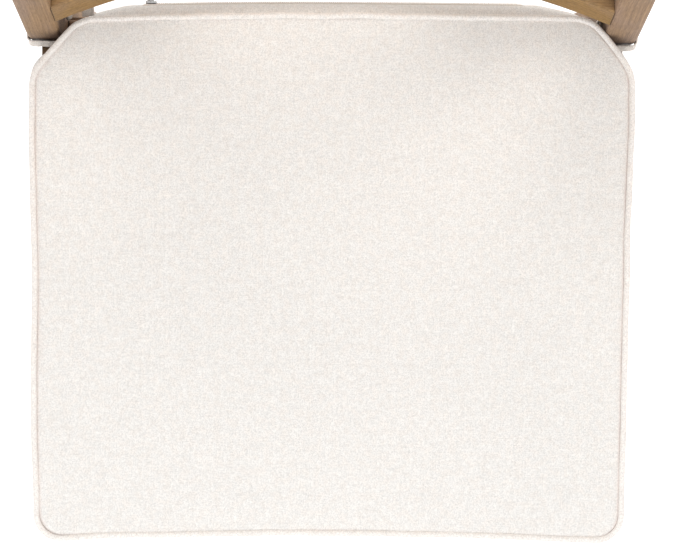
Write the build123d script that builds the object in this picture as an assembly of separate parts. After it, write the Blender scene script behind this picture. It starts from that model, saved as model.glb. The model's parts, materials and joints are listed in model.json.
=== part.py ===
"""A wooden armchair with a crossed back and a tied-on seat cushion.

All lengths are millimetres. The sitter faces -Y, +X is the sitter's left, and +Z is up.
The chair is drawn about the middle of its seat, and one shift at the end puts the origin
on the floor under the middle of its box.
"""
import os
from math import cos, radians, sin

from build123d import *

# ---- driving dimensions: the seat ------------------------------------------------------
SEAT_HEIGHT = 440.0          # floor to the top of the slats
SEAT_HALF_WIDTH = 235.0      # the slats and the rails end here
SEAT_FRONT = -208.0
SEAT_REAR = 202.0
SLAT_COUNT = 7
SLAT_THICKNESS = 14.0
SLAT_GAP = 5.0
RAIL_HEIGHT = 52.0
RAIL_THICKNESS = 22.0
RAIL_INSET = 6.0             # side rails, in from the slats' ends
FRONT_RAIL_Y = SEAT_FRONT + 10
REAR_RAIL_Y = 183.0          # front face of the rear seat rail
TENON_SHOULDER = 8.0         # how much smaller a rail's tenon is, above and below

# ---- legs and posts --------------------------------------------------------------------
POST_WIDTH = 27.0            # across the chair
POST_DEPTH = 34.0            # front to back
POST_OUTER = 241.0           # outer face, from the middle of the chair
POST_INNER = POST_OUTER - POST_WIDTH
LEAN = 18.0                  # degrees that the back leans from the upright
KNEE_FRONT = (183.7, 468.0)  # y, z where a post stops leaning and rakes to its foot
KNEE_REAR = (217.5, 462.0)
FOOT_FRONT_Y = 198.0
FOOT_REAR_Y = 226.0
KNEE_RADIUS = 60.0
ARRIS = 3.0                  # rounding of the long edges
FRONT_LEG_TOP = 36.0         # square section under the seat
FRONT_LEG_FOOT = 26.0
FRONT_LEG_INSET = 5.0        # its outer face, in from the posts' outer faces
STRETCHER_HEIGHT = 26.0
SIDE_STRETCHER_Z = 150.0     # underside
REAR_STRETCHER_Z = 205.0
REAR_STRETCHER_Y = (199.0, 215.0)
MIDDLE_STRETCHER_Y = (-30.0, -12.0)
GLIDE_HEIGHT = 4.0
GLIDE_RADIUS = 10.0

# ---- the back, measured up the posts from the ties --------------------------------------
BACK_ORIGIN = (0.0, 186.0, 475.0)   # on the posts' front plane, where the ties go round
BOW = 46.0                   # how far the rails bow back at the middle
LOWER_RAIL = (31.0, 58.0)    # bottom and top
LOWER_RAIL_THICKNESS = 22.0
LOWER_RAIL_SETBACK = 0.8     # behind the posts' front faces, at the posts
CREST_RAIL = (402.0, 474.0)
CREST_THICKNESS = 26.0
CREST_SETBACK = 4.0
CREST_HALF_LENGTH = 246.0
CREST_ARCH = 14.0            # rise of its top edge at the middle
CREST_END_DROP = 16.0        # how far its ends stay under CREST_RAIL's top
CREST_EDGE = 3.5             # chamfer along its edges
LOWER_EDGE = 1.2
BRACE_WIDTH = 32.0
BRACE_THICKNESS = 14.0
BRACE_FOOT = 176.0           # from the middle, where a brace enters a rail
HOUSING = 10.0               # how deep the braces go into the rails

# ---- arms -------------------------------------------------------------------------------
ARM_UNDERSIDE = 677.0
ARM_THICKNESS = 26.0
ARM_REAR_Y = 292.0
ARM_NOSE_Y = 8.0
ARM_ROOT_WIDTH = 30.0
ARM_PAD_INNER = 244.0
ARM_PAD_OUTER = 292.0
BRACKET_THICKNESS = 24.0
BRACKET_FOOT_Z = 572.0
BRACKET_REACH_Y = 118.0      # where the bracket runs out under the arm

# ---- the cushion --------------------------------------------------------------------------
CUSHION_HALF_WIDTH = 237.0
CUSHION_FRONT = -212.0
CUSHION_REAR = 206.0
CLIP = (40.0, 50.0)          # cut off each rear corner, across and along
CLIP_RADIUS = 25.0
FRONT_RADIUS = 19.0
CUSHION_THICKNESS = 50.0
PIPING = 4.6                 # diameter
COVER_WALL = 1.2
TIE_HEIGHT = 12.0
TIE_THICKNESS = 2.0
TIE_DROP = 7.0               # the ties sit so far down the posts from BACK_ORIGIN
CLEAR = 0.3                  # between a soft piece and the wood

LEFT, RIGHT = 1, -1          # the sitter's left is +X
SIDE = {LEFT: "left", RIGHT: "right"}

BACK = Location(BACK_ORIGIN, (-LEAN, 0, 0))
BOW_RADIUS = (POST_INNER**2 + BOW**2) / (2 * BOW)

parts = {}


# ---- helpers ------------------------------------------------------------------------------
def block(x, y, z):
    """A box from three (low, high) pairs."""
    size = [high - low for low, high in (x, y, z)]
    middle = [(high + low) / 2 for low, high in (x, y, z)]
    return Pos(*middle) * Box(*size)


def rod(start, direction, length, radius):
    """A cylinder from a start point along a direction."""
    plane = Plane(origin=start, z_dir=direction)
    return plane * Cylinder(radius, length, align=(Align.CENTER, Align.CENTER, Align.MIN))


def both(half):
    """The same piece on each side: (+X piece, -X piece)."""
    return {LEFT: half, RIGHT: half.mirror(Plane.YZ)}


def long_edges(solid, axis, radius, least):
    """Round the edges of a solid that run along an axis and are at least so long."""
    edges = [e for e in solid.edges().filter_by(axis) if e.length > least]
    return fillet(edges, radius)


def back_point(depth, height):
    """(y, z) of a point behind the posts' front plane and up the posts."""
    lean = radians(LEAN)
    y = BACK_ORIGIN[1] + depth * cos(lean) + height * sin(lean)
    z = BACK_ORIGIN[2] - depth * sin(lean) + height * cos(lean)
    return y, z


def side_profile(points, x_low, x_high, knees=()):
    """Extrude an outline in the YZ plane across the chair; knees are (index, radius)."""
    face = make_face(Polyline(*[(0, y, z) for y, z in points], close=True)).face()
    for index, radius in knees:
        y, z = points[index]
        corner = face.vertices().sort_by_distance((0, y, z))[0]
        face = face.fillet_2d(radius, [corner])
    solid = extrude(face, amount=x_high - x_low, dir=(1, 0, 0))
    return Pos(x_low, 0, 0) * solid


def bowed_band(setback, thickness, bottom, top, half_span):
    """A slab that bows back: part of a tube standing on the posts' slope."""
    centre_y = setback + BOW - BOW_RADIUS
    outer = Pos(0, centre_y, bottom) * Cylinder(
        BOW_RADIUS + thickness, top - bottom, align=(Align.CENTER, Align.CENTER, Align.MIN)
    )
    inner = Pos(0, centre_y, bottom - 1) * Cylinder(
        BOW_RADIUS, top - bottom + 2, align=(Align.CENTER, Align.CENTER, Align.MIN)
    )
    window = block((-half_span, half_span), (-60, 120), (bottom - 1, top + 1))
    return (outer - inner) & window


# ---- rear posts: back leg and back post in one piece ----------------------------------------
def rear_post():
    top = CREST_RAIL[0]
    points = [
        (FOOT_FRONT_Y, GLIDE_HEIGHT),
        (FOOT_REAR_Y, GLIDE_HEIGHT),
        KNEE_REAR,
        back_point(POST_DEPTH, top),
        back_point(0, top),
        KNEE_FRONT,
    ]
    knees = ((5, KNEE_RADIUS + POST_DEPTH), (2, KNEE_RADIUS))
    post = side_profile(points, POST_INNER, POST_OUTER, knees)
    sides = post.faces().filter_by(Axis.X)
    ends = [
        e
        for face in sides
        for e in face.edges()
        if e.length > POST_DEPTH * 1.2 or e.geom_type == GeomType.CIRCLE
    ]
    post = fillet(ends, ARRIS)
    middle = (POST_INNER + POST_OUTER) / 2
    tenon = BACK * block((middle - 7, middle + 7), (8, 26), (top - 1, top + 26))
    return post, tenon


# ---- front legs ------------------------------------------------------------------------------
def front_leg():
    outer = POST_OUTER - FRONT_LEG_INSET
    top_z = SEAT_HEIGHT - SLAT_THICKNESS
    front = SEAT_FRONT + 4
    top = Plane((outer - FRONT_LEG_TOP / 2, front + FRONT_LEG_TOP / 2, top_z))
    straight = top_z - RAIL_HEIGHT - 8
    shoulder = top.offset(straight - top_z)
    foot = Plane((outer - FRONT_LEG_FOOT / 2, front + FRONT_LEG_FOOT / 2, GLIDE_HEIGHT))
    upper = extrude(shoulder * Rectangle(FRONT_LEG_TOP, FRONT_LEG_TOP), top_z - straight)
    lower = loft([
        foot * Rectangle(FRONT_LEG_FOOT, FRONT_LEG_FOOT),
        shoulder * Rectangle(FRONT_LEG_TOP, FRONT_LEG_TOP),
    ])
    leg = upper + lower
    uprights = [e for e in leg.edges() if e.bounding_box().size.Z > 40]
    return fillet(uprights, ARRIS)


# ---- seat frame -------------------------------------------------------------------------------
def seat_rails(legs, posts):
    """Four rails with stub tenons; their shoulders follow the legs and posts."""
    top = SEAT_HEIGHT - SLAT_THICKNESS
    bottom = top - RAIL_HEIGHT
    inner = SEAT_HALF_WIDTH - RAIL_INSET - RAIL_THICKNESS
    tenon_z = (bottom + TENON_SHOULDER, top - TENON_SHOULDER)
    rails = {}
    joints = []

    across = (-POST_INNER, POST_INNER)
    front = block(across, (FRONT_RAIL_Y, FRONT_RAIL_Y + RAIL_THICKNESS), (bottom, top))
    rails["front_seat_rail"] = front - legs[LEFT] - legs[RIGHT]
    for side in (LEFT, RIGHT):
        x = sorted((side * 196, side * 218))
        joints.append(("front_seat_rail", block(x, (FRONT_RAIL_Y + 6, FRONT_RAIL_Y + 15), tenon_z)))

    rear = block(across, (REAR_RAIL_Y, REAR_RAIL_Y + RAIL_THICKNESS), (bottom, top))
    rails["rear_seat_rail"] = rear - posts[LEFT] - posts[RIGHT]
    for side in (LEFT, RIGHT):
        x = sorted((side * (POST_INNER - 1), side * (POST_INNER + 15)))
        joints.append(("rear_seat_rail", block(x, (REAR_RAIL_Y + 6, REAR_RAIL_Y + 15), tenon_z)))

    for side in (LEFT, RIGHT):
        name = f"{SIDE[side]}_seat_rail"
        x = sorted((side * inner, side * (inner + RAIL_THICKNESS)))
        rail = block(x, (SEAT_FRONT + 20, 200), (bottom, top)) - rear
        for other in (legs[side], posts[side]):
            rail = largest(rail - other)
        rails[name] = rail
        tenon_x = sorted((side * (inner + 8), side * (inner + 17)))
        joints.append((name, block(tenon_x, (SEAT_FRONT + 26, SEAT_FRONT + 46), tenon_z)))
        joints.append((name, block(tenon_x, (REAR_RAIL_Y - 7, REAR_RAIL_Y), tenon_z)))
    return rails, joints


def largest(shape):
    """The largest solid of a shape that a cut has parted."""
    return shape.solids().sort_by(SortBy.VOLUME)[-1]


def seat_slats():
    """Slats across the seat; the last is notched round the posts."""
    depth = SEAT_REAR - SEAT_FRONT
    width = (depth - SLAT_GAP * (SLAT_COUNT - 1)) / SLAT_COUNT
    slats = []
    for index in range(SLAT_COUNT):
        y = SEAT_FRONT + index * (width + SLAT_GAP)
        slat = block(
            (-SEAT_HALF_WIDTH, SEAT_HALF_WIDTH),
            (y, y + width),
            (SEAT_HEIGHT - SLAT_THICKNESS, SEAT_HEIGHT),
        )
        lengthwise = slat.edges().filter_by(Axis.X)
        nose = lengthwise.group_by(Axis.Y)[0]
        if index == 0:
            slat = fillet(nose, 5)
        else:
            slat = fillet(lengthwise.group_by(Axis.Z)[-1], 2)
        if index == SLAT_COUNT - 1:
            for side in (LEFT, RIGHT):
                x = sorted((side * (POST_INNER - 1), side * 300))
                slat = slat - block(x, (KNEE_FRONT[0] - 2, 300), (400, 460))
        slats.append(slat)
    return slats, width


def corner_block(front):
    """A triangular block that stiffens a corner of the seat frame, on the +X side."""
    top = SEAT_HEIGHT - SLAT_THICKNESS - 4
    bottom = top - 34
    x = SEAT_HALF_WIDTH - RAIL_INSET - RAIL_THICKNESS
    leg = 62.0
    y, way = (FRONT_RAIL_Y + RAIL_THICKNESS, 1) if front else (REAR_RAIL_Y, -1)
    outline = Polyline((x, y), (x - leg, y), (x, y + way * leg), close=True)
    return extrude(Pos(0, 0, bottom) * make_face(outline), top - bottom)


# ---- stretchers -------------------------------------------------------------------------------
def stretchers():
    """An H of three bars low down and one bar across the back legs, each (bar, tenons)."""
    x = POST_OUTER - FRONT_LEG_INSET - FRONT_LEG_TOP / 2 + 1
    side_z, rear_z = SIDE_STRETCHER_Z, REAR_STRETCHER_Z
    tall = STRETCHER_HEIGHT
    rear_y = REAR_STRETCHER_Y
    middle_y = MIDDLE_STRETCHER_Y
    bars = {}
    for side in (LEFT, RIGHT):
        across = sorted((side * (x - 8), side * (x + 8)))
        core = sorted((side * (x - 4), side * (x + 4)))
        bar = block(across, (-173, rear_y[0]), (side_z, side_z + tall))
        tenon = block(core, (-190, rear_y[1] - 4), (side_z + 4, side_z + tall - 4))
        bars[f"{SIDE[side]}_stretcher"] = (long_edges(bar, Axis.Y, 2.5, 50), tenon)
    bar = block((-x + 8, x - 8), middle_y, (side_z + 2, side_z + tall - 2))
    tenon = block((-x + 1, x - 1), (middle_y[0] + 5, middle_y[1] - 5), (side_z + 7, side_z + 19))
    bars["middle_stretcher"] = (long_edges(bar, Axis.X, 2.5, 50), tenon)
    bar = block((-POST_INNER, POST_INNER), rear_y, (rear_z, rear_z + tall))
    reach = POST_INNER + 15
    tenon = block((-reach, reach), (rear_y[0] + 4, rear_y[1] - 4), (rear_z + 4, rear_z + tall - 4))
    bars["rear_stretcher"] = (long_edges(bar, Axis.X, 2.5, 50), tenon)
    return bars


# ---- the back ---------------------------------------------------------------------------------
def lower_back_rail():
    bottom, top = LOWER_RAIL
    rail = bowed_band(LOWER_RAIL_SETBACK, LOWER_RAIL_THICKNESS, bottom, top, POST_INNER)
    curved = [e for e in rail.edges() if e.length > 300]
    rail = chamfer(curved, LOWER_EDGE)
    tenons = [
        block(
            sorted((side * (POST_INNER - 2), side * (POST_INNER + 18))),
            (7, 16),
            (bottom + 4, top - 4),
        )
        for side in (LEFT, RIGHT)
    ]
    return BACK * rail, [BACK * tenon for tenon in tenons]


def crest_rail():
    bottom, top = CREST_RAIL
    rail = bowed_band(CREST_SETBACK, CREST_THICKNESS, bottom, top + CREST_ARCH, CREST_HALF_LENGTH)
    end = CREST_HALF_LENGTH + 1
    shoulder = top - CREST_END_DROP
    outline = make_face(
        Polyline((-end, bottom - 1), (end, bottom - 1), (end, shoulder))
        + ThreePointArc((end, shoulder), (0, top + CREST_ARCH), (-end, shoulder))
        + Line((-end, shoulder), (-end, bottom - 1))
    )
    prism = extrude(Plane.XZ.offset(-150) * outline, 300)
    rail = rail & prism
    curved = [e for e in rail.edges() if e.length > 300]
    rail = chamfer(curved, CREST_EDGE)
    return BACK * rail


def crossing_braces():
    """Two diagonal braces, halved where they cross, on the rails' own bow."""
    setback = LOWER_RAIL_SETBACK + (LOWER_RAIL_THICKNESS - BRACE_THICKNESS) / 2
    low = LOWER_RAIL[1] - HOUSING
    high = CREST_RAIL[0] + HOUSING
    rise = high - low
    run = 2 * BRACE_FOOT
    middle = (low + high) / 2
    length = (rise**2 + run**2) ** 0.5 + 120
    angle = Vector(run, rise, 0).get_angle(Vector(1, 0, 0))
    slab = bowed_band(setback, BRACE_THICKNESS, low, high, POST_INNER - 0.5)
    rear_half = bowed_band(setback + BRACE_THICKNESS / 2, BRACE_THICKNESS, low, high, POST_INNER)
    front_half = bowed_band(setback - BRACE_THICKNESS / 2, BRACE_THICKNESS, low, high, POST_INNER)
    bands = {}
    for name, turn in (("front", -angle), ("rear", angle)):
        bands[name] = Pos(0, 30, middle) * Rot(0, turn, 0) * Box(length, 200, BRACE_WIDTH)
    crossing = bands["front"] & bands["rear"]
    front = (slab & bands["front"]) - (crossing & rear_half)
    rear = (slab & bands["rear"]) - (crossing & front_half)
    return {"cross_brace_front": BACK * front, "cross_brace_rear": BACK * rear}


# ---- arms ---------------------------------------------------------------------------------------
def arm():
    """The +X arm: a root against the post that widens into a pad with a round nose."""
    root_outer = POST_OUTER + ARM_ROOT_WIDTH
    pad_middle = (ARM_PAD_INNER + ARM_PAD_OUTER) / 2
    nose = ARM_NOSE_Y + (ARM_PAD_OUTER - ARM_PAD_INNER) / 2
    root_front = 215.0
    root_rear = 270.0
    inner = Bezier(
        (POST_OUTER, root_front), (POST_OUTER, 150), (ARM_PAD_INNER, 110), (ARM_PAD_INNER, nose)
    )
    outer = Bezier(
        (ARM_PAD_OUTER, nose), (ARM_PAD_OUTER, 130), (root_outer, 150), (root_outer, root_rear)
    )
    outline = make_face([
        Line((POST_OUTER, ARM_REAR_Y), (POST_OUTER, root_front)),
        inner,
        ThreePointArc((ARM_PAD_INNER, nose), (pad_middle, ARM_NOSE_Y), (ARM_PAD_OUTER, nose)),
        outer,
        Line((root_outer, root_rear), (root_outer, ARM_REAR_Y)),
        Line((root_outer, ARM_REAR_Y), (POST_OUTER, ARM_REAR_Y)),
    ])
    solid = extrude(Pos(0, 0, ARM_UNDERSIDE) * outline, ARM_THICKNESS)
    corner = solid.edges().filter_by(Axis.Z).group_by(Axis.Y)[-1].sort_by(Axis.X)[-1]
    solid = fillet(corner, 10)
    top = solid.faces().sort_by(Axis.Z)[-1].edges()
    rim = [e for e in top if abs(e.center().X - POST_OUTER) > 0.5]
    return fillet(rim, 6)


def arm_bracket():
    """The +X bracket: it follows the post's side, and sweeps forward under the arm."""
    slope = cos(radians(LEAN))
    foot_height = (BRACKET_FOOT_Z - BACK_ORIGIN[2]) / slope
    y0, z0 = back_point(2, foot_height)
    y1, z1 = back_point(POST_DEPTH - 2, foot_height + 34)
    rear_y, _ = back_point(POST_DEPTH - 2, (ARM_UNDERSIDE - BACK_ORIGIN[2] + 10) / slope)
    under = ARM_UNDERSIDE
    front = Bezier(
        (0, y0, z0), (0, y0 + 14, z0 + 46), (0, 188, under - 12), (0, BRACKET_REACH_Y, under)
    )
    foot = Bezier((0, y1, z1), (0, y1 - 8, z1 - 24), (0, y0 + 8, z0 - 2), (0, y0, z0))
    outline = make_face(
        front
        + Line((0, BRACKET_REACH_Y, under), (0, rear_y, under))
        + Line((0, rear_y, under), (0, y1, z1))
        + foot
    )
    solid = Pos(POST_OUTER, 0, 0) * extrude(outline, BRACKET_THICKNESS, dir=(1, 0, 0))
    outer = solid.faces().filter_by(Axis.X).sort_by(Axis.X)[-1]
    curved = [e for e in outer.edges() if e.center().Z < under - 0.5]
    return fillet(curved, 3)


# ---- fasteners -----------------------------------------------------------------------------------
def screw(start, direction, length, head_radius=4.2, head_depth=3.2, shank_radius=2.2):
    """A screw whose head starts at a point and whose shank runs on along a direction."""
    head = rod(start, direction, head_depth, head_radius)
    way = Vector(*direction).normalized() * head_depth
    neck = tuple(Vector(*start) + way)
    return head + rod(neck, direction, length - head_depth, shank_radius)


def frame_pegs():
    """Round pegs through the tenons of the seat rails and the lower back rail."""
    z = SEAT_HEIGHT - SLAT_THICKNESS - RAIL_HEIGHT / 2
    pegs = []
    for side in (LEFT, RIGHT):
        outward = (-side, 0, 0)
        x = side * (POST_OUTER - FRONT_LEG_INSET)
        for dz in (-10, 10):
            pegs.append(rod((x, SEAT_FRONT + 39, z + dz), outward, 26, 3.2))
        pegs.append(rod((side * POST_OUTER, REAR_RAIL_Y + 10, z), outward, 22, 3.2))
        rear_x = side * (POST_INNER + 7)
        pegs.append(rod((rear_x, 217, z + 8), (0, -1, 0), 26, 3.2))
        front_x = side * 209
        pegs.append(rod((front_x, SEAT_FRONT + 4, z), (0, 1, 0), 24, 3.2))
    return pegs


# ---- cushion ------------------------------------------------------------------------------
def cushion_outline(inset):
    """The cushion's outline, drawn in from its widest line."""
    half = CUSHION_HALF_WIDTH - inset
    front = CUSHION_FRONT + inset
    rear = CUSHION_REAR - inset
    clip_x = CLIP[0] - 0.4 * inset
    clip_y = CLIP[1] - 0.4 * inset
    corners = [
        (half, front),
        (half, rear - clip_y),
        (half - clip_x, rear),
        (-half + clip_x, rear),
        (-half, rear - clip_y),
        (-half, front),
    ]
    face = make_face(Polyline(*corners, close=True))
    fronts = face.vertices().group_by(Axis.Y)[0]
    face = fillet(fronts, FRONT_RADIUS - inset / 2)
    rears = [v for v in face.vertices() if v.Y > rear - clip_y - 1]
    return fillet(rears, CLIP_RADIUS - inset / 2)


def cushion():
    bottom = SEAT_HEIGHT + CLEAR
    top = SEAT_HEIGHT + CUSHION_THICKNESS
    outer = extrude(Pos(0, 0, bottom) * cushion_outline(PIPING), top - bottom)
    hollow = extrude(
        Pos(0, 0, bottom + COVER_WALL) * cushion_outline(PIPING + COVER_WALL),
        top - bottom - 2 * COVER_WALL,
    )
    cover = outer - hollow
    foam = extrude(
        Pos(0, 0, bottom + COVER_WALL + CLEAR) * cushion_outline(PIPING + COVER_WALL + 4),
        top - bottom - 2 * COVER_WALL - 2 * CLEAR,
    )
    pipes = {}
    for name, z in (("top_piping", top - PIPING), ("bottom_piping", bottom)):
        ring = extrude(Pos(0, 0, z) * (cushion_outline(0) - cushion_outline(PIPING)), PIPING)
        rims = [e for face in ring.faces().filter_by(Axis.Z) for e in face.outer_wire().edges()]
        pipes[name] = fillet(rims, 1.8)
    return cover, foam, pipes


def zipper():
    """A closed zipper along the rear boxing: its tape and its slider."""
    y = CUSHION_REAR - PIPING
    z = SEAT_HEIGHT + CUSHION_THICKNESS / 2
    tape = block((-150, 150), (y, y + 1.2), (z - 8, z + 8))
    slider = block((-150, -138), (y + 1.2, y + 4.0), (z - 4, z + 4))
    slider = fillet(slider.edges().filter_by(Axis.Y), 2)
    pull = block((-147, -141), (y + 4.0, y + 5.4), (z - 18, z + 2))
    return tape, slider + pull


def tie(post):
    """The +X tie: a band round the post, its lead from the cushion, a knot and two tails."""
    half = TIE_HEIGHT / 2
    wrap = TIE_THICKNESS + CLEAR
    outer = block(
        (POST_INNER - wrap, POST_OUTER + wrap),
        (-wrap, POST_DEPTH + wrap),
        (-TIE_DROP - half, -TIE_DROP + half),
    )
    core = block(
        (POST_INNER - CLEAR, POST_OUTER + CLEAR),
        (-CLEAR, POST_DEPTH + CLEAR),
        (-TIE_DROP - half - 1, -TIE_DROP + half + 1),
    )
    outer = fillet(outer.edges().filter_by(Axis.Z), ARRIS + wrap)
    core = fillet(core.edges().filter_by(Axis.Z), ARRIS + CLEAR)
    band = BACK * (outer - core) - post
    middle = (POST_INNER + POST_OUTER) / 2
    rear = POST_DEPTH + wrap
    knot = block((middle - 8, middle + 8), (rear, rear + 9), (-TIE_DROP - 7, -TIE_DROP + 7))
    knot = BACK * fillet(knot.edges(), 3) - post
    y, z = back_point(rear + 5, -TIE_DROP - 7)
    tails = [
        block((middle + dx, middle + dx + TIE_HEIGHT), (y, y + TIE_THICKNESS), (z - length, z + 4))
        - knot
        for dx, length in ((-13, 74), (1, 86))
    ]
    return band, knot, tails


# ---- assembly -----------------------------------------------------------------------------
def build():
    post, top_tenon = rear_post()
    posts = both(post)
    top_tenons = both(top_tenon)
    legs = both(front_leg())

    rails, rail_tenons = seat_rails(legs, posts)
    for name, tenon in rail_tenons:
        for group in (legs, posts):
            for side in group:
                group[side] = group[side] - tenon
        rails[name] = rails[name] + tenon
    for side in (LEFT, RIGHT):
        name = f"{SIDE[side]}_seat_rail"
        rails[name] = largest(rails[name] - rails["rear_seat_rail"])

    uprights = {(kind, side): piece for kind, group in (("leg", legs), ("post", posts))
                for side, piece in group.items()}
    bars = {}
    for name, (bar, tenon) in stretchers().items():
        for place, upright in uprights.items():
            bar = largest(bar - upright)
            uprights[place] = upright - tenon
        bars[name] = bar + tenon
    for side in (LEFT, RIGHT):
        legs[side] = uprights["leg", side]
        posts[side] = uprights["post", side]
        name = f"{SIDE[side]}_stretcher"
        bars[name] = bars[name] - bars["middle_stretcher"]

    lower, lower_tenons = lower_back_rail()
    for tenon in lower_tenons:
        for side in posts:
            posts[side] = posts[side] - tenon
    for tenon in lower_tenons:
        lower = lower + tenon
    crest = crest_rail()
    for side in posts:
        posts[side] = (posts[side] - crest) + top_tenons[side]
        crest = crest - top_tenons[side]
    braces = crossing_braces()
    for brace in braces.values():
        lower = lower - brace
        crest = crest - brace

    slats, slat_width = seat_slats()
    arms = both(arm())
    brackets = both(arm_bracket())
    corner_blocks = {}
    for front in (True, False):
        for side, piece in both(corner_block(front)).items():
            piece = piece - legs[side] - posts[side]
            corner_blocks[f"corner_block_{'front' if front else 'rear'}_{SIDE[side]}"] = piece

    # Pegs, screws and plugs: each cuts its own hole in every piece of wood that it enters.
    wood = {}
    for side in (LEFT, RIGHT):
        wood[f"rear_post_{SIDE[side]}"] = posts[side]
        wood[f"front_leg_{SIDE[side]}"] = legs[side]
    wood.update(rails)
    wood.update(corner_blocks)
    wood.update(bars)
    for index, slat in enumerate(slats, start=1):
        wood[f"seat_slat_{index}"] = slat
    wood["lower_back_rail"] = lower
    wood["crest_rail"] = crest
    wood.update(braces)
    for side in (LEFT, RIGHT):
        wood[f"arm_{SIDE[side]}"] = arms[side]
        wood[f"arm_bracket_{SIDE[side]}"] = brackets[side]

    fasteners = {
        "frame_pegs": frame_pegs(),
        "seat_slat_screws": slat_screws(slat_width),
        "corner_block_screws": block_screws(),
    }
    fasteners["arm_screws"], fasteners["arm_plugs"] = arm_fixings()
    for group in fasteners.values():
        for piece in group:
            box = piece.bounding_box()
            for name, solid in wood.items():
                if touches(box, solid.bounding_box()):
                    wood[name] = solid - piece
    parts.update(wood)
    for name, group in fasteners.items():
        parts[name] = Compound(children=[solid for piece in group for solid in piece.solids()])

    cover, foam, pipes = cushion()
    parts["cushion_cover"] = cover
    parts["cushion_foam"] = foam
    parts.update(pipes)
    parts["zipper_tape"], parts["zipper_slider"] = zipper()
    band, knot, tails = tie(post)
    for side in (LEFT, RIGHT):
        mirrored = [both(piece)[side] for piece in (band, knot, *tails)]
        parts[f"tie_band_{SIDE[side]}"] = mirrored[0]
        parts[f"tie_knot_{SIDE[side]}"] = mirrored[1]
        parts[f"tie_tails_{SIDE[side]}"] = Compound(children=mirrored[2:])
    parts["floor_glides"] = Compound(children=glides())


def touches(a, b):
    """Whether two bounding boxes meet."""
    return all(
        low_a <= high_b and low_b <= high_a
        for low_a, high_a, low_b, high_b in zip(a.min, a.max, b.min, b.max)
    )


def slat_screws(width):
    """Screws with flush heads: slats into the side rails, the front slat into its rail."""
    x = SEAT_HALF_WIDTH - RAIL_INSET - RAIL_THICKNESS / 2
    down = (0, 0, -1)
    front_y = FRONT_RAIL_Y + RAIL_THICKNESS / 2
    screws = [screw((middle, front_y, SEAT_HEIGHT), down, 34) for middle in (-120.0, 0.0, 120.0)]
    for index in range(1, SLAT_COUNT):
        y = SEAT_FRONT + index * (width + SLAT_GAP) + width / 2
        last = index == SLAT_COUNT - 1
        for dy in (-width / 4,) if last else (-width / 4, width / 4):
            for side in (LEFT, RIGHT):
                screws.append(screw((side * x, y + dy, SEAT_HEIGHT), down, 34))
    return screws


def block_screws():
    """Two screws through each corner block, one into each rail."""
    x = SEAT_HALF_WIDTH - RAIL_INSET - RAIL_THICKNESS
    z = SEAT_HEIGHT - SLAT_THICKNESS - 21
    screws = []
    for side in (LEFT, RIGHT):
        for y, way in ((FRONT_RAIL_Y + RAIL_THICKNESS, 1), (REAR_RAIL_Y, -1)):
            start = (side * (x - 20.0), y + way * 34.0, z)
            screws.append(screw(start, (side, 0, 0), 34, 3.5, 3.0, 1.8))
            start = (side * (x - 34.0), y + way * 20.0, z - 9)
            screws.append(screw(start, (0, -way, 0), 34, 3.5, 3.0, 1.8))
    return screws


def arm_fixings():
    """Screws from the outside through each bracket and arm root into the post, and plugs."""
    heights = ((POST_DEPTH / 2, 130), (POST_DEPTH / 2, 172), (POST_DEPTH / 2, 224))
    screws = []
    plugs = []
    for side in (LEFT, RIGHT):
        for index, (depth, height) in enumerate(heights):
            y, z = back_point(depth, height)
            reach = ARM_ROOT_WIDTH if index == 2 else BRACKET_THICKNESS
            face = POST_OUTER + reach
            plug = 8.0
            plugs.append(rod((side * face, y, z), (-side, 0, 0), plug, 5.0))
            start = (side * (face - plug), y, z)
            screws.append(screw(start, (-side, 0, 0), reach - plug + 20))
        start = (side * (POST_OUTER + BRACKET_THICKNESS / 2), 160.0, ARM_UNDERSIDE - 20)
        screws.append(screw(start, (0, 0, 1), 38))
    return screws, plugs


def glides():
    """A low round glide under each leg and post."""
    front_x = POST_OUTER - FRONT_LEG_INSET - FRONT_LEG_FOOT / 2
    front_y = SEAT_FRONT + 4 + FRONT_LEG_FOOT / 2
    rear_x = (POST_INNER + POST_OUTER) / 2
    rear_y = (FOOT_FRONT_Y + FOOT_REAR_Y) / 2
    discs = []
    for side in (LEFT, RIGHT):
        for x, y in ((front_x, front_y), (rear_x, rear_y)):
            disc = rod((side * x, y, 0), (0, 0, 1), GLIDE_HEIGHT, GLIDE_RADIUS)
            discs.append(chamfer(disc.edges().group_by(Axis.Z)[0], 1))
    return discs


def write():
    boxes = [shape.bounding_box() for shape in parts.values()]
    low = min(box.min.Y for box in boxes)
    high = max(box.max.Y for box in boxes)
    to_origin = Pos(0, -(low + high) / 2, 0)
    print("shift along Y", round(-(low + high) / 2, 3))
    os.makedirs("parts", exist_ok=True)
    for name, shape in parts.items():
        export_step(to_origin * shape, f"parts/{name}.step")


build()
write()
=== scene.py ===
import json
from math import atan2, cos, pi, radians, sin, sqrt, tan

import bpy
import numpy as np
from mathutils import Matrix, Vector
from mathutils.bvhtree import BVHTree


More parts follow.
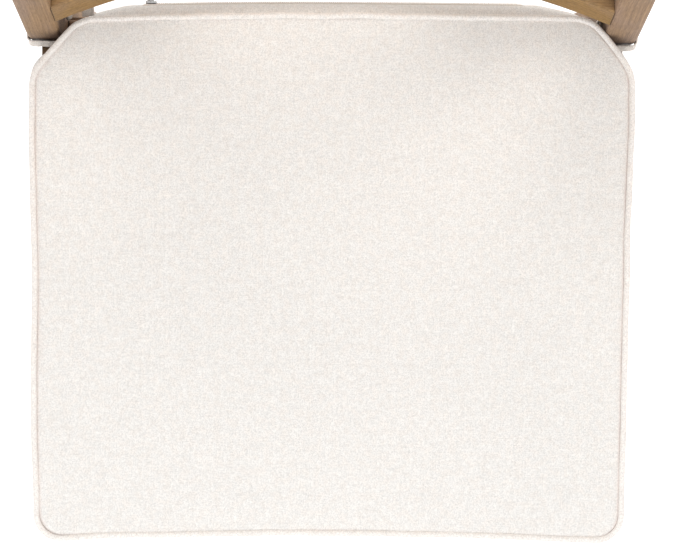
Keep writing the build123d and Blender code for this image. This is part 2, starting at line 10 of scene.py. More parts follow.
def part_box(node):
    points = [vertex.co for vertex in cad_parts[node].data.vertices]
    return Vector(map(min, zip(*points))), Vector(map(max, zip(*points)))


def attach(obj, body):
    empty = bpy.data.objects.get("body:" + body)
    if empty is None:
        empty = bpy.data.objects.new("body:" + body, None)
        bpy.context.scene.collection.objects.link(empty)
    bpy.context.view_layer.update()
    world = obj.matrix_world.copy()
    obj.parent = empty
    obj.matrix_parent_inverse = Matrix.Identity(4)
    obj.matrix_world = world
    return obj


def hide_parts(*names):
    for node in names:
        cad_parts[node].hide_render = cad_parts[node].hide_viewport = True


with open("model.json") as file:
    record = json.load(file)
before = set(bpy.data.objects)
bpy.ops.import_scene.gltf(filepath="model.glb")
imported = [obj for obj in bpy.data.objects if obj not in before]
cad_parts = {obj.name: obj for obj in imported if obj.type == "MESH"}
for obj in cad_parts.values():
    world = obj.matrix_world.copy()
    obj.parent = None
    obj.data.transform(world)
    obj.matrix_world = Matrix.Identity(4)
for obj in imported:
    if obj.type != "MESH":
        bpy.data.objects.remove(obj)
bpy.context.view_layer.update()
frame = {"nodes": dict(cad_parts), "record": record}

# ---- where things are, from the CAD ----------------------------------------------------------
MM = 0.001
PIPE_LOW, PIPE_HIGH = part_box("top_piping")
HALF_WIDTH = PIPE_HIGH.x            # over the piping
FRONT_Y = PIPE_LOW.y
REAR_Y = PIPE_HIGH.y
CUSHION_TOP = PIPE_HIGH.z
CUSHION_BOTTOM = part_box("bottom_piping")[0].z
SEAT_Y0 = FRONT_Y + 0.212           # the line y = 0 of the seat's own measurements
LEAN = radians(18)                  # of the back posts, from the upright
SLOTS = {part["node"]: part["material_slot"] for part in frame["record"]["subparts"]}


# ---- small helpers ---------------------------------------------------------------------------
def seat(x, y, z):
    """A point in the seat's own millimetres, in the row frame."""
    return np.array([x * MM, y * MM + SEAT_Y0, z * MM])


def linear(r, g, b):
    """An sRGB colour of 0..255 as linear RGBA."""
    out = []
    for value in (r, g, b):
        c = value / 255
        out.append(c / 12.92 if c <= 0.04045 else ((c + 0.055) / 1.055) ** 2.4)
    return (*out, 1.0)


def smooth_noise(length, count, wave, seed):
    """A closed, smooth random line of that many samples, about -1..1."""
    rng = np.random.default_rng(seed)
    s = np.linspace(0, 2 * pi, count, endpoint=False)
    total = np.zeros(count)
    top = max(2, int(length / wave))
    weight = 0.0
    for order in range(1, top + 1):
        size = rng.uniform(0.4, 1.0) * (1.0 if order > top / 3 else 0.6)
        total += size * np.sin(order * s + rng.uniform(0, 2 * pi))
        weight += size**2
    return total / sqrt(weight)


def catmull(points, per_span):
    """A smooth open line through the points."""
    p = np.asarray(points, float)
    p = np.vstack([2 * p[0] - p[1], p, 2 * p[-1] - p[-2]])
    out = []
    for i in range(1, len(p) - 2):
        for t in np.linspace(0, 1, per_span, endpoint=False):
            a, b, c, d = p[i - 1], p[i], p[i + 1], p[i + 2]
            out.append(0.5 * (2 * b + (c - a) * t + (2 * a - 5 * b + 4 * c - d) * t**2
                              + (3 * b - a - 3 * c + d) * t**3))
    out.append(p[-2])
    return np.array(out)


def new_mesh(name, verts, faces, material, weave=None):
    """A smooth mesh object; weave is one (u, v) for each face corner, in metres."""
    mesh = bpy.data.meshes.new(name)
    mesh.from_pydata([tuple(map(float, v)) for v in verts], [], faces)
    mesh.materials.append(material)
    mesh.polygons.foreach_set("use_smooth", [True] * len(mesh.polygons))
    if weave is not None:
        layer = mesh.attributes.new("weave", "FLOAT_VECTOR", "CORNER")
        flat = np.zeros((len(weave), 3), np.float32)
        flat[:, :2] = weave
        layer.data.foreach_set("vector", flat.ravel())
    mesh.update()
    ob = bpy.data.objects.new(name, mesh)
    bpy.context.scene.collection.objects.link(ob)
    return ob


def box_at(verts, faces, centre, size):
    """Adds a small box to a list of vertices and one of faces."""
    start = len(verts)
    for dx in (-0.5, 0.5):
        for dy in (-0.5, 0.5):
            for dz in (-0.5, 0.5):
                way = (dx, dy, dz)
                verts.append(tuple(c + w * s for c, w, s in zip(centre, way, size)))
    for quad in ((0, 1, 3, 2), (4, 6, 7, 5), (0, 4, 5, 1), (2, 3, 7, 6), (0, 2, 6, 4), (1, 5, 7, 3)):
        faces.append([start + q for q in quad])


def dress(ob, material):
    ob.data.materials.clear()
    ob.data.materials.append(material)


# ---- shader building -------------------------------------------------------------------------
class Shader:
    """A material and short ways to add its nodes."""

    def __init__(self, name):
        self.material = bpy.data.materials.new(name)
        self.material.use_nodes = True
        self.tree = self.material.node_tree
        self.tree.nodes.clear()
        self.out = self.tree.nodes.new("ShaderNodeOutputMaterial")
        self.bsdf = self.tree.nodes.new("ShaderNodeBsdfPrincipled")
        self.link(self.bsdf.outputs[0], self.out.inputs["Surface"])

    def link(self, a, b):
        self.tree.links.new(a, b)

    def add(self, kind, **settings):
        node = self.tree.nodes.new(kind)
        for key, value in settings.items():
            setattr(node, key, value)
        return node

    def put(self, socket, value):
        if isinstance(value, bpy.types.NodeSocket):
            self.link(value, socket)
        else:
            socket.default_value = value

    def math(self, operation, a, b=0.0, c=0.0, clamp=False):
        node = self.add("ShaderNodeMath", operation=operation, use_clamp=clamp)
        for socket, value in zip(node.inputs, (a, b, c)):
            self.put(socket, value)
        return node.outputs[0]

    def vector(self, operation, a, b=(0, 0, 0)):
        node = self.add("ShaderNodeVectorMath", operation=operation)
        self.put(node.inputs[0], a)
        self.put(node.inputs[1], b)
        return node.outputs["Value" if operation in ("DOT_PRODUCT", "LENGTH") else "Vector"]

    def combine(self, x, y, z=0.0):
        node = self.add("ShaderNodeCombineXYZ")
        for socket, value in zip(node.inputs, (x, y, z)):
            self.put(socket, value)
        return node.outputs[0]

    def split(self, vector):
        node = self.add("ShaderNodeSeparateXYZ")
        self.put(node.inputs[0], vector)
        return node.outputs

    def noise(self, vector, scale=1.0, detail=2.0, rough=0.5, output="Fac"):
        node = self.add("ShaderNodeTexNoise")
        self.put(node.inputs["Vector"], vector)
        node.inputs["Scale"].default_value = scale
        node.inputs["Detail"].default_value = detail
        node.inputs["Roughness"].default_value = rough
        return node.outputs[output]

    def step(self, value, low, high, to_low=0.0, to_high=1.0):
        """A smooth change from to_low at low to to_high at high."""
        node = self.add("ShaderNodeMapRange", interpolation_type="SMOOTHSTEP")
        for socket, given in zip(node.inputs, (value, low, high, to_low, to_high)):
            self.put(socket, given)
        return node.outputs[0]

    def mix(self, fac, a, b):
        node = self.add("ShaderNodeMix", data_type="RGBA")
        self.put(node.inputs[0], fac)
        self.put(node.inputs[6], a)
        self.put(node.inputs[7], b)
        return node.outputs[2]

    def scaled(self, colour, value):
        """A colour times a number."""
        if isinstance(colour, tuple):
            colour = colour[:3]
        return self.vector("MULTIPLY", colour, self.combine(value, value, value))

    def bump(self, height, distance, strength=1.0, normal=None):
        node = self.add("ShaderNodeBump")
        node.inputs["Strength"].default_value = strength
        node.inputs["Distance"].default_value = distance
        self.put(node.inputs["Height"], height)
        if normal is not None:
            self.link(normal, node.inputs["Normal"])
        return node.outputs[0]


# ---- wood ------------------------------------------------------------------------------------
GOLDEN = linear(158, 125, 81)
TAUPE = linear(157, 131, 110)
LATE = 0.84                 # how dark the late wood's lines are
RING = 0.0041               # width of a year's growth
PITH = 0.085                # from the middle of the tree to the piece
WORN = linear(160, 146, 132)
# the colour of the painted shade laid into corners where pieces meet
CREVICE_SHADE_COLOUR = linear(54, 32, 16)


def wood(name, grain, seed, grey, bent, light):
    """Solid wood with its grain along a direction; grey is 0 golden to 1 taupe."""
    s = Shader(name)
    rng = np.random.default_rng(seed)
    place = s.add("ShaderNodeTexCoord").outputs["Object"]
    if bent:
        place = bent_place(s, place)
    along = Vector(grain).normalized()
    side = along.orthogonal().normalized() if abs(along.x) > 0.5 else Vector((1, 0, 0))
    third = along.cross(side).normalized()
    a = s.math("ADD", s.vector("DOT_PRODUCT", place, tuple(along)), rng.uniform(1, 5))
    b = s.math("ADD", s.vector("DOT_PRODUCT", place, tuple(side)), rng.uniform(-3, 3) * 0.01)
    c = s.math("ADD", s.vector("DOT_PRODUCT", place, tuple(third)), rng.uniform(-3, 3) * 0.01)

    # growth rings round a pith beside the piece
    sway = s.noise(s.combine(s.math("MULTIPLY", a, 2.1), s.math("MULTIPLY", b, 7.0),
                             s.math("MULTIPLY", c, 7.0)), 1.0, 2.0, 0.5, "Color")
    sway = s.split(sway)
    angle = rng.uniform(0, 2 * pi)
    pith = (PITH * cos(angle), PITH * sin(angle))
    rb = s.math("ADD", s.math("SUBTRACT", b, pith[0]), s.math("MULTIPLY", sway[0], 0.016))
    rc = s.math("ADD", s.math("SUBTRACT", c, pith[1]), s.math("MULTIPLY", sway[1], 0.016))
    radius = s.vector("LENGTH", s.combine(rb, rc, 0.0))
    uneven = s.noise(s.combine(s.math("MULTIPLY", a, 9), s.math("MULTIPLY", b, 95),
                               s.math("MULTIPLY", c, 95)), 1.0, 2.0)
    radius = s.math("ADD", radius, s.math("MULTIPLY", uneven, 0.009))
    ring = s.math("DIVIDE", radius, RING)
    saw = s.math("FRACT", ring)
    late = s.math("MULTIPLY", s.step(saw, 0.35, 0.9), s.step(saw, 0.93, 1.0, 1.0, 0.0))
    year = s.add("ShaderNodeTexWhiteNoise", noise_dimensions="1D")
    s.link(s.math("FLOOR", ring), year.inputs["W"])

    # fibres, open pores and slower changes, all drawn out along the grain
    def streak(long_scale, cross_scale, detail, rough=0.6):
        return s.noise(s.combine(s.math("MULTIPLY", a, long_scale), s.math("MULTIPLY", b, cross_scale),
                                 s.math("MULTIPLY", c, cross_scale)), 1.0, detail, rough)

    fibre = streak(26, 760, 4.0, 0.75)
    fleck = streak(210, 1300, 2.0, 0.6)
    broad = streak(7, 130, 3.0)
    pore = s.step(streak(75, 1500, 1.0), 0.60, 0.70)
    pore = s.math("MULTIPLY", pore, s.step(late, 0.0, 0.7, 1.0, 0.25))
    blotch = s.noise(s.combine(s.math("MULTIPLY", a, 17), s.math("MULTIPLY", b, 34),
                               s.math("MULTIPLY", c, 34)), 1.0, 3.0, 0.55)
    blotch = s.step(blotch, 0.36, 0.66)

    # the colour drifts between golden and taupe, and everything above changes its tone
    hue = s.math("ADD", s.math("MULTIPLY", blotch, 0.55), grey - 0.28, clamp=True)
    colour = s.mix(hue, GOLDEN, TAUPE)
    tone = s.math("ADD", 0.04, s.math("MULTIPLY", fibre, 1.14))
    tone = s.math("ADD", tone, s.math("MULTIPLY", fleck, 0.86))
    tone = s.math("MULTIPLY", tone, s.math("ADD", 0.90, s.math("MULTIPLY", broad, 0.20)))
    tone = s.math("MULTIPLY", tone, s.math("SUBTRACT", 1.0, s.math("MULTIPLY", late, 1 - LATE)))
    tone = s.math("MULTIPLY", tone, s.math("ADD", 0.97, s.math("MULTIPLY", year.outputs["Value"], 0.06)))
    tone = s.math("MULTIPLY", tone, s.math("SUBTRACT", 1.0, s.math("MULTIPLY", pore, 0.24)))

    # worn arrises, and painted shade: where ambient occlusion finds pieces meeting, the wood is darkened
    # towards a near-black brown
    round_normal = s.add("ShaderNodeBevel", samples=4)
    round_normal.inputs["Radius"].default_value = 0.0014
    flat = s.add("ShaderNodeNewGeometry").outputs["Normal"]
    arris = s.vector("DOT_PRODUCT", round_normal.outputs[0], flat)
    worn = s.step(arris, 0.995, 0.86)
    crevice_shade_ao = s.add("ShaderNodeAmbientOcclusion", samples=4, only_local=False)
    crevice_shade_ao.inputs["Distance"].default_value = 0.030
    painted_shade = s.step(crevice_shade_ao.outputs["AO"], 0.12, 0.80)
    tone = s.math("MULTIPLY", tone, light)
    colour = s.scaled(colour, tone)
    colour = s.mix(s.math("MULTIPLY", worn, 0.30), colour, WORN)
    # painted shade: the colour falls to the dark brown where little light reaches
    colour = s.mix(painted_shade, CREVICE_SHADE_COLOUR, colour)
    s.link(colour, s.bsdf.inputs["Base Color"])

    rough = s.math("ADD", 0.47, s.math("MULTIPLY", fibre, 0.14))
    s.link(s.math("ADD", rough, s.math("MULTIPLY", pore, 0.15)), s.bsdf.inputs["Roughness"])
    s.bsdf.inputs["Specular IOR Level"].default_value = 0.16
    height = s.math("SUBTRACT", s.math("MULTIPLY", fibre, 0.35), s.math("MULTIPLY", pore, 0.8))
    height = s.math("ADD", height, s.math("MULTIPLY", late, 0.3))
    s.link(s.bump(height, 0.00012, 0.7, round_normal.outputs[0]), s.bsdf.inputs["Normal"])
    return s.material


KNEE = seat(0, 200, 465)    # where a rear post bends
LEG_SLOPE = -0.06           # of the grain below the bend, backwards for each metre up


def bent_place(s, place):
    """Straightens a rear post: its grain follows the leg and then the back's slope."""
    x, y, z = s.split(place)
    rise = s.math("SUBTRACT", z, float(KNEE[2]))
    back = s.math("MULTIPLY", rise, tan(LEAN))
    leg = s.math("MULTIPLY", rise, LEG_SLOPE)
    centre = s.math("SMOOTH_MAX", back, leg, 0.006)
    return s.combine(x, s.math("SUBTRACT", y, centre), z)


BRACE_RISE = 344.0 / 352.0  # how far a brace rises up the back for each metre across


def brace_way(sign):
    """The grain of a brace in the back's leaning plane."""
    return (sign, BRACE_RISE * sin(LEAN), BRACE_RISE * cos(LEAN))


# node: its grain's direction, how grey it is, and whether it bends at the knee
GRAINS = {
    "rear_post_left": ((0, 0, 1), 0.95, True),
    "rear_post_right": ((0, 0, 1), 0.78, True),
    "front_leg_left": ((0, 0, 1), 0.8, False),
    "front_leg_right": ((0, 0, 1), 0.7, False),
    "left_seat_rail": ((0, 1, 0), 0.6, False),
    "right_seat_rail": ((0, 1, 0), 0.65, False),
    "left_stretcher": ((0, 1, 0), 0.7, False),
    "right_stretcher": ((0, 1, 0), 0.75, False),
    "arm_left": ((0, 1, 0), 0.65, False),
    "arm_right": ((0, 1, 0), 0.7, False),
    "arm_bracket_left": ((0, -0.5, 1), 0.7, False),
    "arm_bracket_right": ((0, -0.5, 1), 0.75, False),
    "cross_brace_front": (brace_way(1), 0.6, False),
    "cross_brace_rear": (brace_way(-1), 0.7, False),
    "lower_back_rail": ((1, 0, 0), 0.12, False),
    "crest_rail": ((1, 0, 0), 0.55, False),
    "frame_pegs": ((1, 0, 0), 0.4, False),
    "arm_plugs": ((1, 0, 0), 0.4, False),
}


def dress_wood():
    """Every wooden CAD node takes a wood of its own."""
    seed = 11
    for name, ob in sorted(frame["nodes"].items()):
        kind = SLOTS.get(name)
        if kind not in ("wood_frame", "wood_pegs"):
            continue
        seed += 1
        default = ((1, 0, 0), 0.5 + 0.3 * ((seed * 37) % 10) / 10, False)
        if name.startswith("corner_block"):
            default = ((1, 0.3, 0), 0.5, False)
        grain, grey, bent = GRAINS.get(name, default)
        light = 0.74 if kind == "wood_pegs" else 1.0
        dress(ob, wood("wood_" + name, grain, seed, grey, bent, light))


# ---- other plain finishes --------------------------------------------------------------------
def metal(name, colour, rough):
    """Plated metal with a fine mottle."""
    s = Shader(name)
    place = s.add("ShaderNodeTexCoord").outputs["Object"]
    mottle = s.noise(place, 900, 2.0)
    s.link(s.scaled(colour, s.math("ADD", 0.85, s.math("MULTIPLY", mottle, 0.3))),
           s.bsdf.inputs["Base Color"])
    s.bsdf.inputs["Metallic"].default_value = 1.0
    s.link(s.math("ADD", rough, s.math("MULTIPLY", mottle, 0.15)), s.bsdf.inputs["Roughness"])
    s.link(s.bump(mottle, 0.00004), s.bsdf.inputs["Normal"])
    return s.material


def plastic(name, colour):
    """Matt moulded plastic."""
    s = Shader(name)
    place = s.add("ShaderNodeTexCoord").outputs["Object"]
    grainy = s.noise(place, 2500, 1.0)
    s.bsdf.inputs["Base Color"].default_value = colour
    s.bsdf.inputs["Roughness"].default_value = 0.55
    s.link(s.bump(grainy, 0.00003), s.bsdf.inputs["Normal"])
    return s.material


# ---- linen -----------------------------------------------------------------------------------
LINEN = linear(237, 235, 232)
THREAD = 0.00068            # from one thread to the next


def linen(name, colour=LINEN, bias=False, contrast=1.0, shade=1.0):
    """Plain-woven linen; the attribute weave says where the threads are, in metres."""
    s = Shader(name)
    place = s.add("ShaderNodeAttribute", attribute_name="weave").outputs["Vector"]
    if bias:
        x, y, _ = s.split(place)
        turned = s.math("MULTIPLY", s.math("ADD", x, y), 0.7071)
        other = s.math("MULTIPLY", s.math("SUBTRACT", y, x), 0.7071)
        place = s.combine(turned, other)
    x, y, _ = s.split(place)
    wander = s.split(s.noise(place, 48, 3.0, 0.6, "Color"))
    u = s.math("DIVIDE", s.math("ADD", x, s.math("MULTIPLY", wander[0], 0.0016)), THREAD)
    v = s.math("DIVIDE", s.math("ADD", y, s.math("MULTIPLY", wander[1], 0.0016)), THREAD)
    iu, iv = s.math("FLOOR", u), s.math("FLOOR", v)
    fu = s.math("SUBTRACT", s.math("FRACT", u), 0.5)
    fv = s.math("SUBTRACT", s.math("FRACT", v), 0.5)

    def thread_tone(index, offset):
        node = s.add("ShaderNodeTexWhiteNoise", noise_dimensions="1D")
        s.link(s.math("ADD", index, offset), node.inputs["W"])
        return node.outputs["Value"]

    def slub(index, run, offset):
        row = s.math("ADD", index, offset)
        long = s.noise(s.combine(row, s.math("MULTIPLY", run, 0.05), 0.0), 1.0, 1.0)
        short = s.noise(s.combine(row, s.math("MULTIPLY", run, 0.21), 7.3), 1.0, 2.0, 0.6)
        return s.math("ADD", s.math("MULTIPLY", long, 0.5), s.math("MULTIPLY", short, 0.5))

    slub_u = slub(iu, v, 0.37)
    slub_v = slub(s.math("ADD", iv, 411.0), u, 0.61)

    def crown(f):
        return s.math("SUBTRACT", 1.0, s.math("MULTIPLY", s.math("MULTIPLY", f, f), 3.4))

    warp = s.math("MULTIPLY", crown(fu), s.math("ADD", 0.62, s.math("MULTIPLY", crown(fv), 0.38)))
    weft = s.math("MULTIPLY", crown(fv), s.math("ADD", 0.62, s.math("MULTIPLY", crown(fu), 0.38)))
    over = s.math("MODULO", s.math("ABSOLUTE", s.math("ADD", iu, iv)), 2.0)
    height = s.math("ADD", s.math("MULTIPLY", warp, over),
                    s.math("MULTIPLY", weft, s.math("SUBTRACT", 1.0, over)))
    thick = s.math("ADD", s.math("MULTIPLY", slub_u, over),
                   s.math("MULTIPLY", slub_v, s.math("SUBTRACT", 1.0, over)))
    yarn = s.math("ADD", s.math("MULTIPLY", thread_tone(iu, 0.5), over),
                  s.math("MULTIPLY", thread_tone(iv, 977.5), s.math("SUBTRACT", 1.0, over)))

    knot = s.add("ShaderNodeTexWhiteNoise", noise_dimensions="2D")
    s.link(s.combine(iu, iv), knot.inputs["Vector"])
    tone = s.math("MULTIPLY", s.math("SUBTRACT", thick, 0.5), 0.44 * contrast)
    tone = s.math("ADD", tone, s.math("MULTIPLY", s.math("SUBTRACT", yarn, 0.5), 0.03 * contrast))
    tone = s.math("ADD", tone, s.math("MULTIPLY", s.math("SUBTRACT", knot.outputs["Value"], 0.5),
                                      0.25 * contrast))
    tone = s.math("ADD", tone, s.math("MULTIPLY", s.math("SUBTRACT", height, 0.7), 0.09))
    cloud = s.noise(place, 22, 3.0, 0.6)
    tone = s.math("ADD", tone, s.math("MULTIPLY", s.math("SUBTRACT", cloud, 0.5), 0.025))
    # painted shade: a darker pinkish line where the panel meets its seam, in place of the shade in the
    # seam's groove
    seam = s.add("ShaderNodeAttribute", attribute_name="seam").outputs["Fac"]
    seam = s.math("POWER", seam, 2.0)
    flush = s.noise(place, 150, 2.0, 0.5)
    warm = tuple(c * k for c, k in zip(colour, (1.0, 0.982, 0.968, 1)))
    base = s.mix(s.step(flush, 0.38, 0.66), colour, warm)
    base = s.mix(seam, base, tuple(c * k for c, k in zip(colour, (0.95, 0.885, 0.875, 1))))
    tone = s.math("ADD", 1.0, tone)
    # painted shade: with shade below 1, crevices found by ambient occlusion darken the cloth's colour
    if shade < 1.0:
        crevice_shade_ao = s.add("ShaderNodeAmbientOcclusion", samples=4)
        crevice_shade_ao.inputs["Distance"].default_value = 0.030
        tone = s.math("MULTIPLY", tone, s.step(crevice_shade_ao.outputs["AO"], 0.1, 0.7, shade, 1.0))
    s.link(s.scaled(base, tone), s.bsdf.inputs["Base Color"])
    s.bsdf.inputs["Roughness"].default_value = 0.92
    s.bsdf.inputs["Specular IOR Level"].default_value = 0.18
    s.bsdf.inputs["Sheen Weight"].default_value = 0.12
    s.bsdf.inputs["Sheen Roughness"].default_value = 0.45
    relief = s.math("ADD", height, s.math("MULTIPLY", thick, 0.9))
    s.link(s.bump(relief, 0.00011, 0.6), s.bsdf.inputs["Normal"])
    return s.material


# ---- the cushion's outline -------------------------------------------------------------------
# Outlines and routes are in the seat's own millimetres.
HALF = HALF_WIDTH / MM
FRONT = (FRONT_Y - SEAT_Y0) / MM
REAR = (REAR_Y - SEAT_Y0) / MM
CLIP_X, CLIP_Y = 40.0, 50.0  # what is cut off each rear corner
CLIP_RADIUS = 25.0
FRONT_TIP = 22.0             # radius of the front corners
PIPE_RADIUS = 2.45
PIPE_INSET = 2.3            # from the outline to the piping's centre line
SEAM_INSET = 4.0            # from the outline to the seams


def rounded(corners, spacing):
    """A line through corners of (x, y, radius), each rounded, sampled evenly: (points, normals)."""
    line = []
    for i, (x, y, radius) in enumerate(corners):
        here = np.array([x, y])
        if radius == 0:
            line.append(here)
            continue
        before = np.array(corners[i - 1][:2]) - here
        after = np.array(corners[i + 1][:2]) - here
        before /= np.linalg.norm(before)
        after /= np.linalg.norm(after)
        half = np.arccos(np.clip(before @ after, -1, 1)) / 2
        reach = radius / tan(half)
        middle = before + after
        middle /= np.linalg.norm(middle)
        centre = here + middle * radius / sin(half)
        start = here + before * reach - centre
        stop = here + after * reach - centre
        a0, a1 = atan2(start[1], start[0]), atan2(stop[1], stop[0])
        turn = (a1 - a0 + pi) % (2 * pi) - pi
        for k in range(13):
            angle = a0 + turn * k / 12
            line.append(centre + radius * np.array([cos(angle), sin(angle)]))
    line = np.array(line)
    steps = np.linalg.norm(np.diff(line, axis=0), axis=1)
    run = np.concatenate([[0], np.cumsum(steps)])
    count = int(round(run[-1] / spacing)) + 1
    at = np.linspace(0, run[-1], count)
    points = np.stack([np.interp(at, run, line[:, 0]), np.interp(at, run, line[:, 1])], 1)
    tangent = np.gradient(points, axis=0)
    tangent /= np.linalg.norm(tangent, axis=1)[:, None]
    normals = np.stack([tangent[:, 1], -tangent[:, 0]], 1)
    return points, normals


def plus_edge(inset, spacing=5.0):
    """The +X edge, from the front edge's end to the rear edge's end."""
    corners = [
        (HALF - FRONT_TIP - 1, FRONT, 0), (HALF, FRONT, FRONT_TIP), (HALF, REAR - CLIP_Y, CLIP_RADIUS),
        (HALF - CLIP_X, REAR, CLIP_RADIUS), (HALF - CLIP_X - 14, REAR, 0),
    ]
    points, normals = rounded(corners, spacing)
    points = points - normals * inset
    points[0, 1] = FRONT + inset
    points[-1, 1] = REAR - inset
    return points


def settle(p):
    """The sewn outline's own unevenness: moves each plan point by a few millimetres."""
    x, y = p[..., 0], p[..., 1]
    middle = (FRONT + REAR) / 2
    t = (y - middle) / ((REAR - FRONT) / 2)
    # the two sides bow a little, each in its own way
    plus_side = -0.7 + 0.9 * t + 1.5 * np.exp(-((y - 115) / 32) ** 2)
    minus_side = 0.3 - 1.6 * np.sin(pi * t) ** 2
    dx = np.where(x > 0, plus_side, minus_side) * np.clip(np.abs(x) / HALF, 0, 1) ** 2
    # the front edge draws in at the middle
    near_front = np.clip((middle - y) / (middle - FRONT), 0, 1) ** 2
    across = np.clip(np.abs(x) / (HALF - FRONT_TIP), 0, 1) ** 2
    dy = (3.0 - 5.0 * across) * near_front
    # the rear edge draws in towards its ends
    near_rear = np.clip((y - middle) / (REAR - middle), 0, 1) ** 2
    dip = np.where(x > 0, 1.0, 4.5) * np.clip(np.abs(x) / (HALF - CLIP_X), 0, 1) ** 2
    dip = dip * np.clip((HALF - np.abs(x)) / CLIP_X, 0, 1)
    dy = dy - dip * near_rear
    # the cut corners are sewn a little fuller, the sitter's left one most
    corner = np.hypot(np.abs(x) - (HALF - CLIP_X / 2), y - (REAR - CLIP_Y / 2))
    full = np.where(x > 0, 4.6, 2.2) * np.exp(-(corner / 30) ** 4)
    dx = dx + np.sign(x) * full * 0.78
    dy = dy + full * 0.62
    return np.stack([x + dx, y + dy], -1)


def outline(inset, spacing):
    """The whole closed line, anticlockwise from the front edge's -X end."""
    edge = plus_edge(inset, spacing)
    width = edge[0, 0]
    columns = int(2 * width / spacing)
    front = np.stack([np.linspace(-width, width, columns)[:-1], np.full(columns - 1, edge[0, 1])], 1)
    rear = np.stack([np.linspace(edge[-1, 0], -edge[-1, 0], columns)[:-1],
                     np.full(columns - 1, edge[-1, 1])], 1)
    left = edge[::-1][:-1] * [-1, 1]
    return settle(np.vstack([front, edge[:-1], rear, left]))


def loop_normals(loop):
    """The outward direction at each point of a closed plan line."""
    tangent = np.roll(loop, -1, 0) - np.roll(loop, 1, 0)
    tangent /= np.linalg.norm(tangent, axis=1)[:, None]
    return np.stack([tangent[:, 1], -tangent[:, 0]], 1)


def loop_run(loop):
    """The distance along a closed line at each point, and its whole length."""
    steps = np.linalg.norm(np.roll(loop, -1, 0) - loop, axis=1)
    return np.concatenate([[0], np.cumsum(steps)[:-1]]), steps.sum()


# ---- the cushion -----------------------------------------------------------------------------
TOP_SEAM = CUSHION_TOP / MM - 2.5
BOTTOM_SEAM = CUSHION_BOTTOM / MM + 3.4
RINGS = 12                  # rows of faces down the boxing
COLUMNS = 96                # vertices across a panel
PLAIN_SWELL, REAR_SWELL = 3.4, 13.5     # of the boxing before it is filled
CLOTH_STEPS = 20


def swell_of(loop, normals, plain, rear):
    """How far the boxing swells: most at the rear, and little where the posts hold it in."""
    x, y = loop[:, 0], loop[:, 1]
    share = np.clip(normals[:, 1], 0, 1) ** 2 * np.clip((212 - np.abs(x)) / 50, 0, 1)
    swell = plain + (rear - plain) * share
    at_post = np.hypot(np.abs(x) - 211, y - 190)
    swell = swell * (1 - 0.8 * np.exp(-(at_post / 15) ** 2))
    beside_post = np.hypot(np.abs(x) - 233, y - 165)
    return swell + np.where(x > 0, 1.5, 5.8) * np.exp(-(beside_post / 17) ** 2)


def cushion_mesh():
    """Top panel, boxing and bottom panel, sewn together, with the weave of each face corner."""
    edge = plus_edge(SEAM_INSET)
    rows = len(edge)
    span = np.linspace(-1, 1, COLUMNS)
    grid = np.array([[(w * t, y) for t in span] for w, y in edge])
    grid = settle(grid)
    loop = [(0, i) for i in range(COLUMNS - 1)]
    loop += [(j, COLUMNS - 1) for j in range(rows - 1)]
    loop += [(rows - 1, i) for i in range(COLUMNS - 1, 0, -1)]
    loop += [(j, 0) for j in range(rows - 1, 0, -1)]
    rim = np.array([grid[j, i] for j, i in loop])
    normals = loop_normals(rim)
    run, whole = loop_run(rim)
    count = len(loop)

    verts = [(x, y, TOP_SEAM) for x, y in grid.reshape(-1, 2)]
    base = len(verts)
    verts += [(x, y, BOTTOM_SEAM) for x, y in grid.reshape(-1, 2)]
    ring_ids = [[j * COLUMNS + i for j, i in loop]]
    bulge = swell_of(rim, normals, PLAIN_SWELL, REAR_SWELL)
    for k in range(1, RINGS):
        t = k / RINGS
        z = TOP_SEAM + (BOTTOM_SEAM - TOP_SEAM) * t
        out = (bulge * sin(pi * t) ** 0.75)[:, None] * normals
        ring_ids.append(list(range(len(verts), len(verts) + count)))
        verts += [(x, y, z) for x, y in rim + out]
    ring_ids.append([base + j * COLUMNS + i for j, i in loop])

    faces = []
    corners = []
    for start, flip in ((0, False), (base, True)):
        for j in range(rows - 1):
            for i in range(COLUMNS - 1):
                a = j * COLUMNS + i
                quad = [a, a + 1, a + COLUMNS + 1, a + COLUMNS]
                if flip:
                    quad = quad[::-1]
                faces.append([start + q for q in quad])
                corners += [verts[start + q][:2] for q in quad]
    tall = (TOP_SEAM - BOTTOM_SEAM) * 1.12
    for k in range(RINGS):
        upper, lower = ring_ids[k], ring_ids[k + 1]
        z0, z1 = -tall * k / RINGS, -tall * (k + 1) / RINGS
        for n in range(count):
            m = (n + 1) % count
            s0, s1 = run[n], run[m] if m else whole
            faces.append([upper[n], lower[n], lower[m], upper[m]])
            corners += [(s0, z0), (s0, z1), (s1, z1), (s1, z0)]
    return np.array(verts, float), faces, np.array(corners) * MM, ring_ids, rim, normals


def rim_distance(points, rim):
    """How far points on a panel are from the seam, and the place along it, in mm."""
    run, _ = loop_run(rim)
    near = np.empty(len(points))
    place = np.empty(len(points))
    for start in range(0, len(points), 2000):
        part = points[start:start + 2000]
        gap = np.linalg.norm(part[:, None] - rim[None], axis=2)
        best = gap.argmin(1)
        near[start:start + 2000] = gap[np.arange(len(part)), best]
        place[start:start + 2000] = run[best]
    return near, place


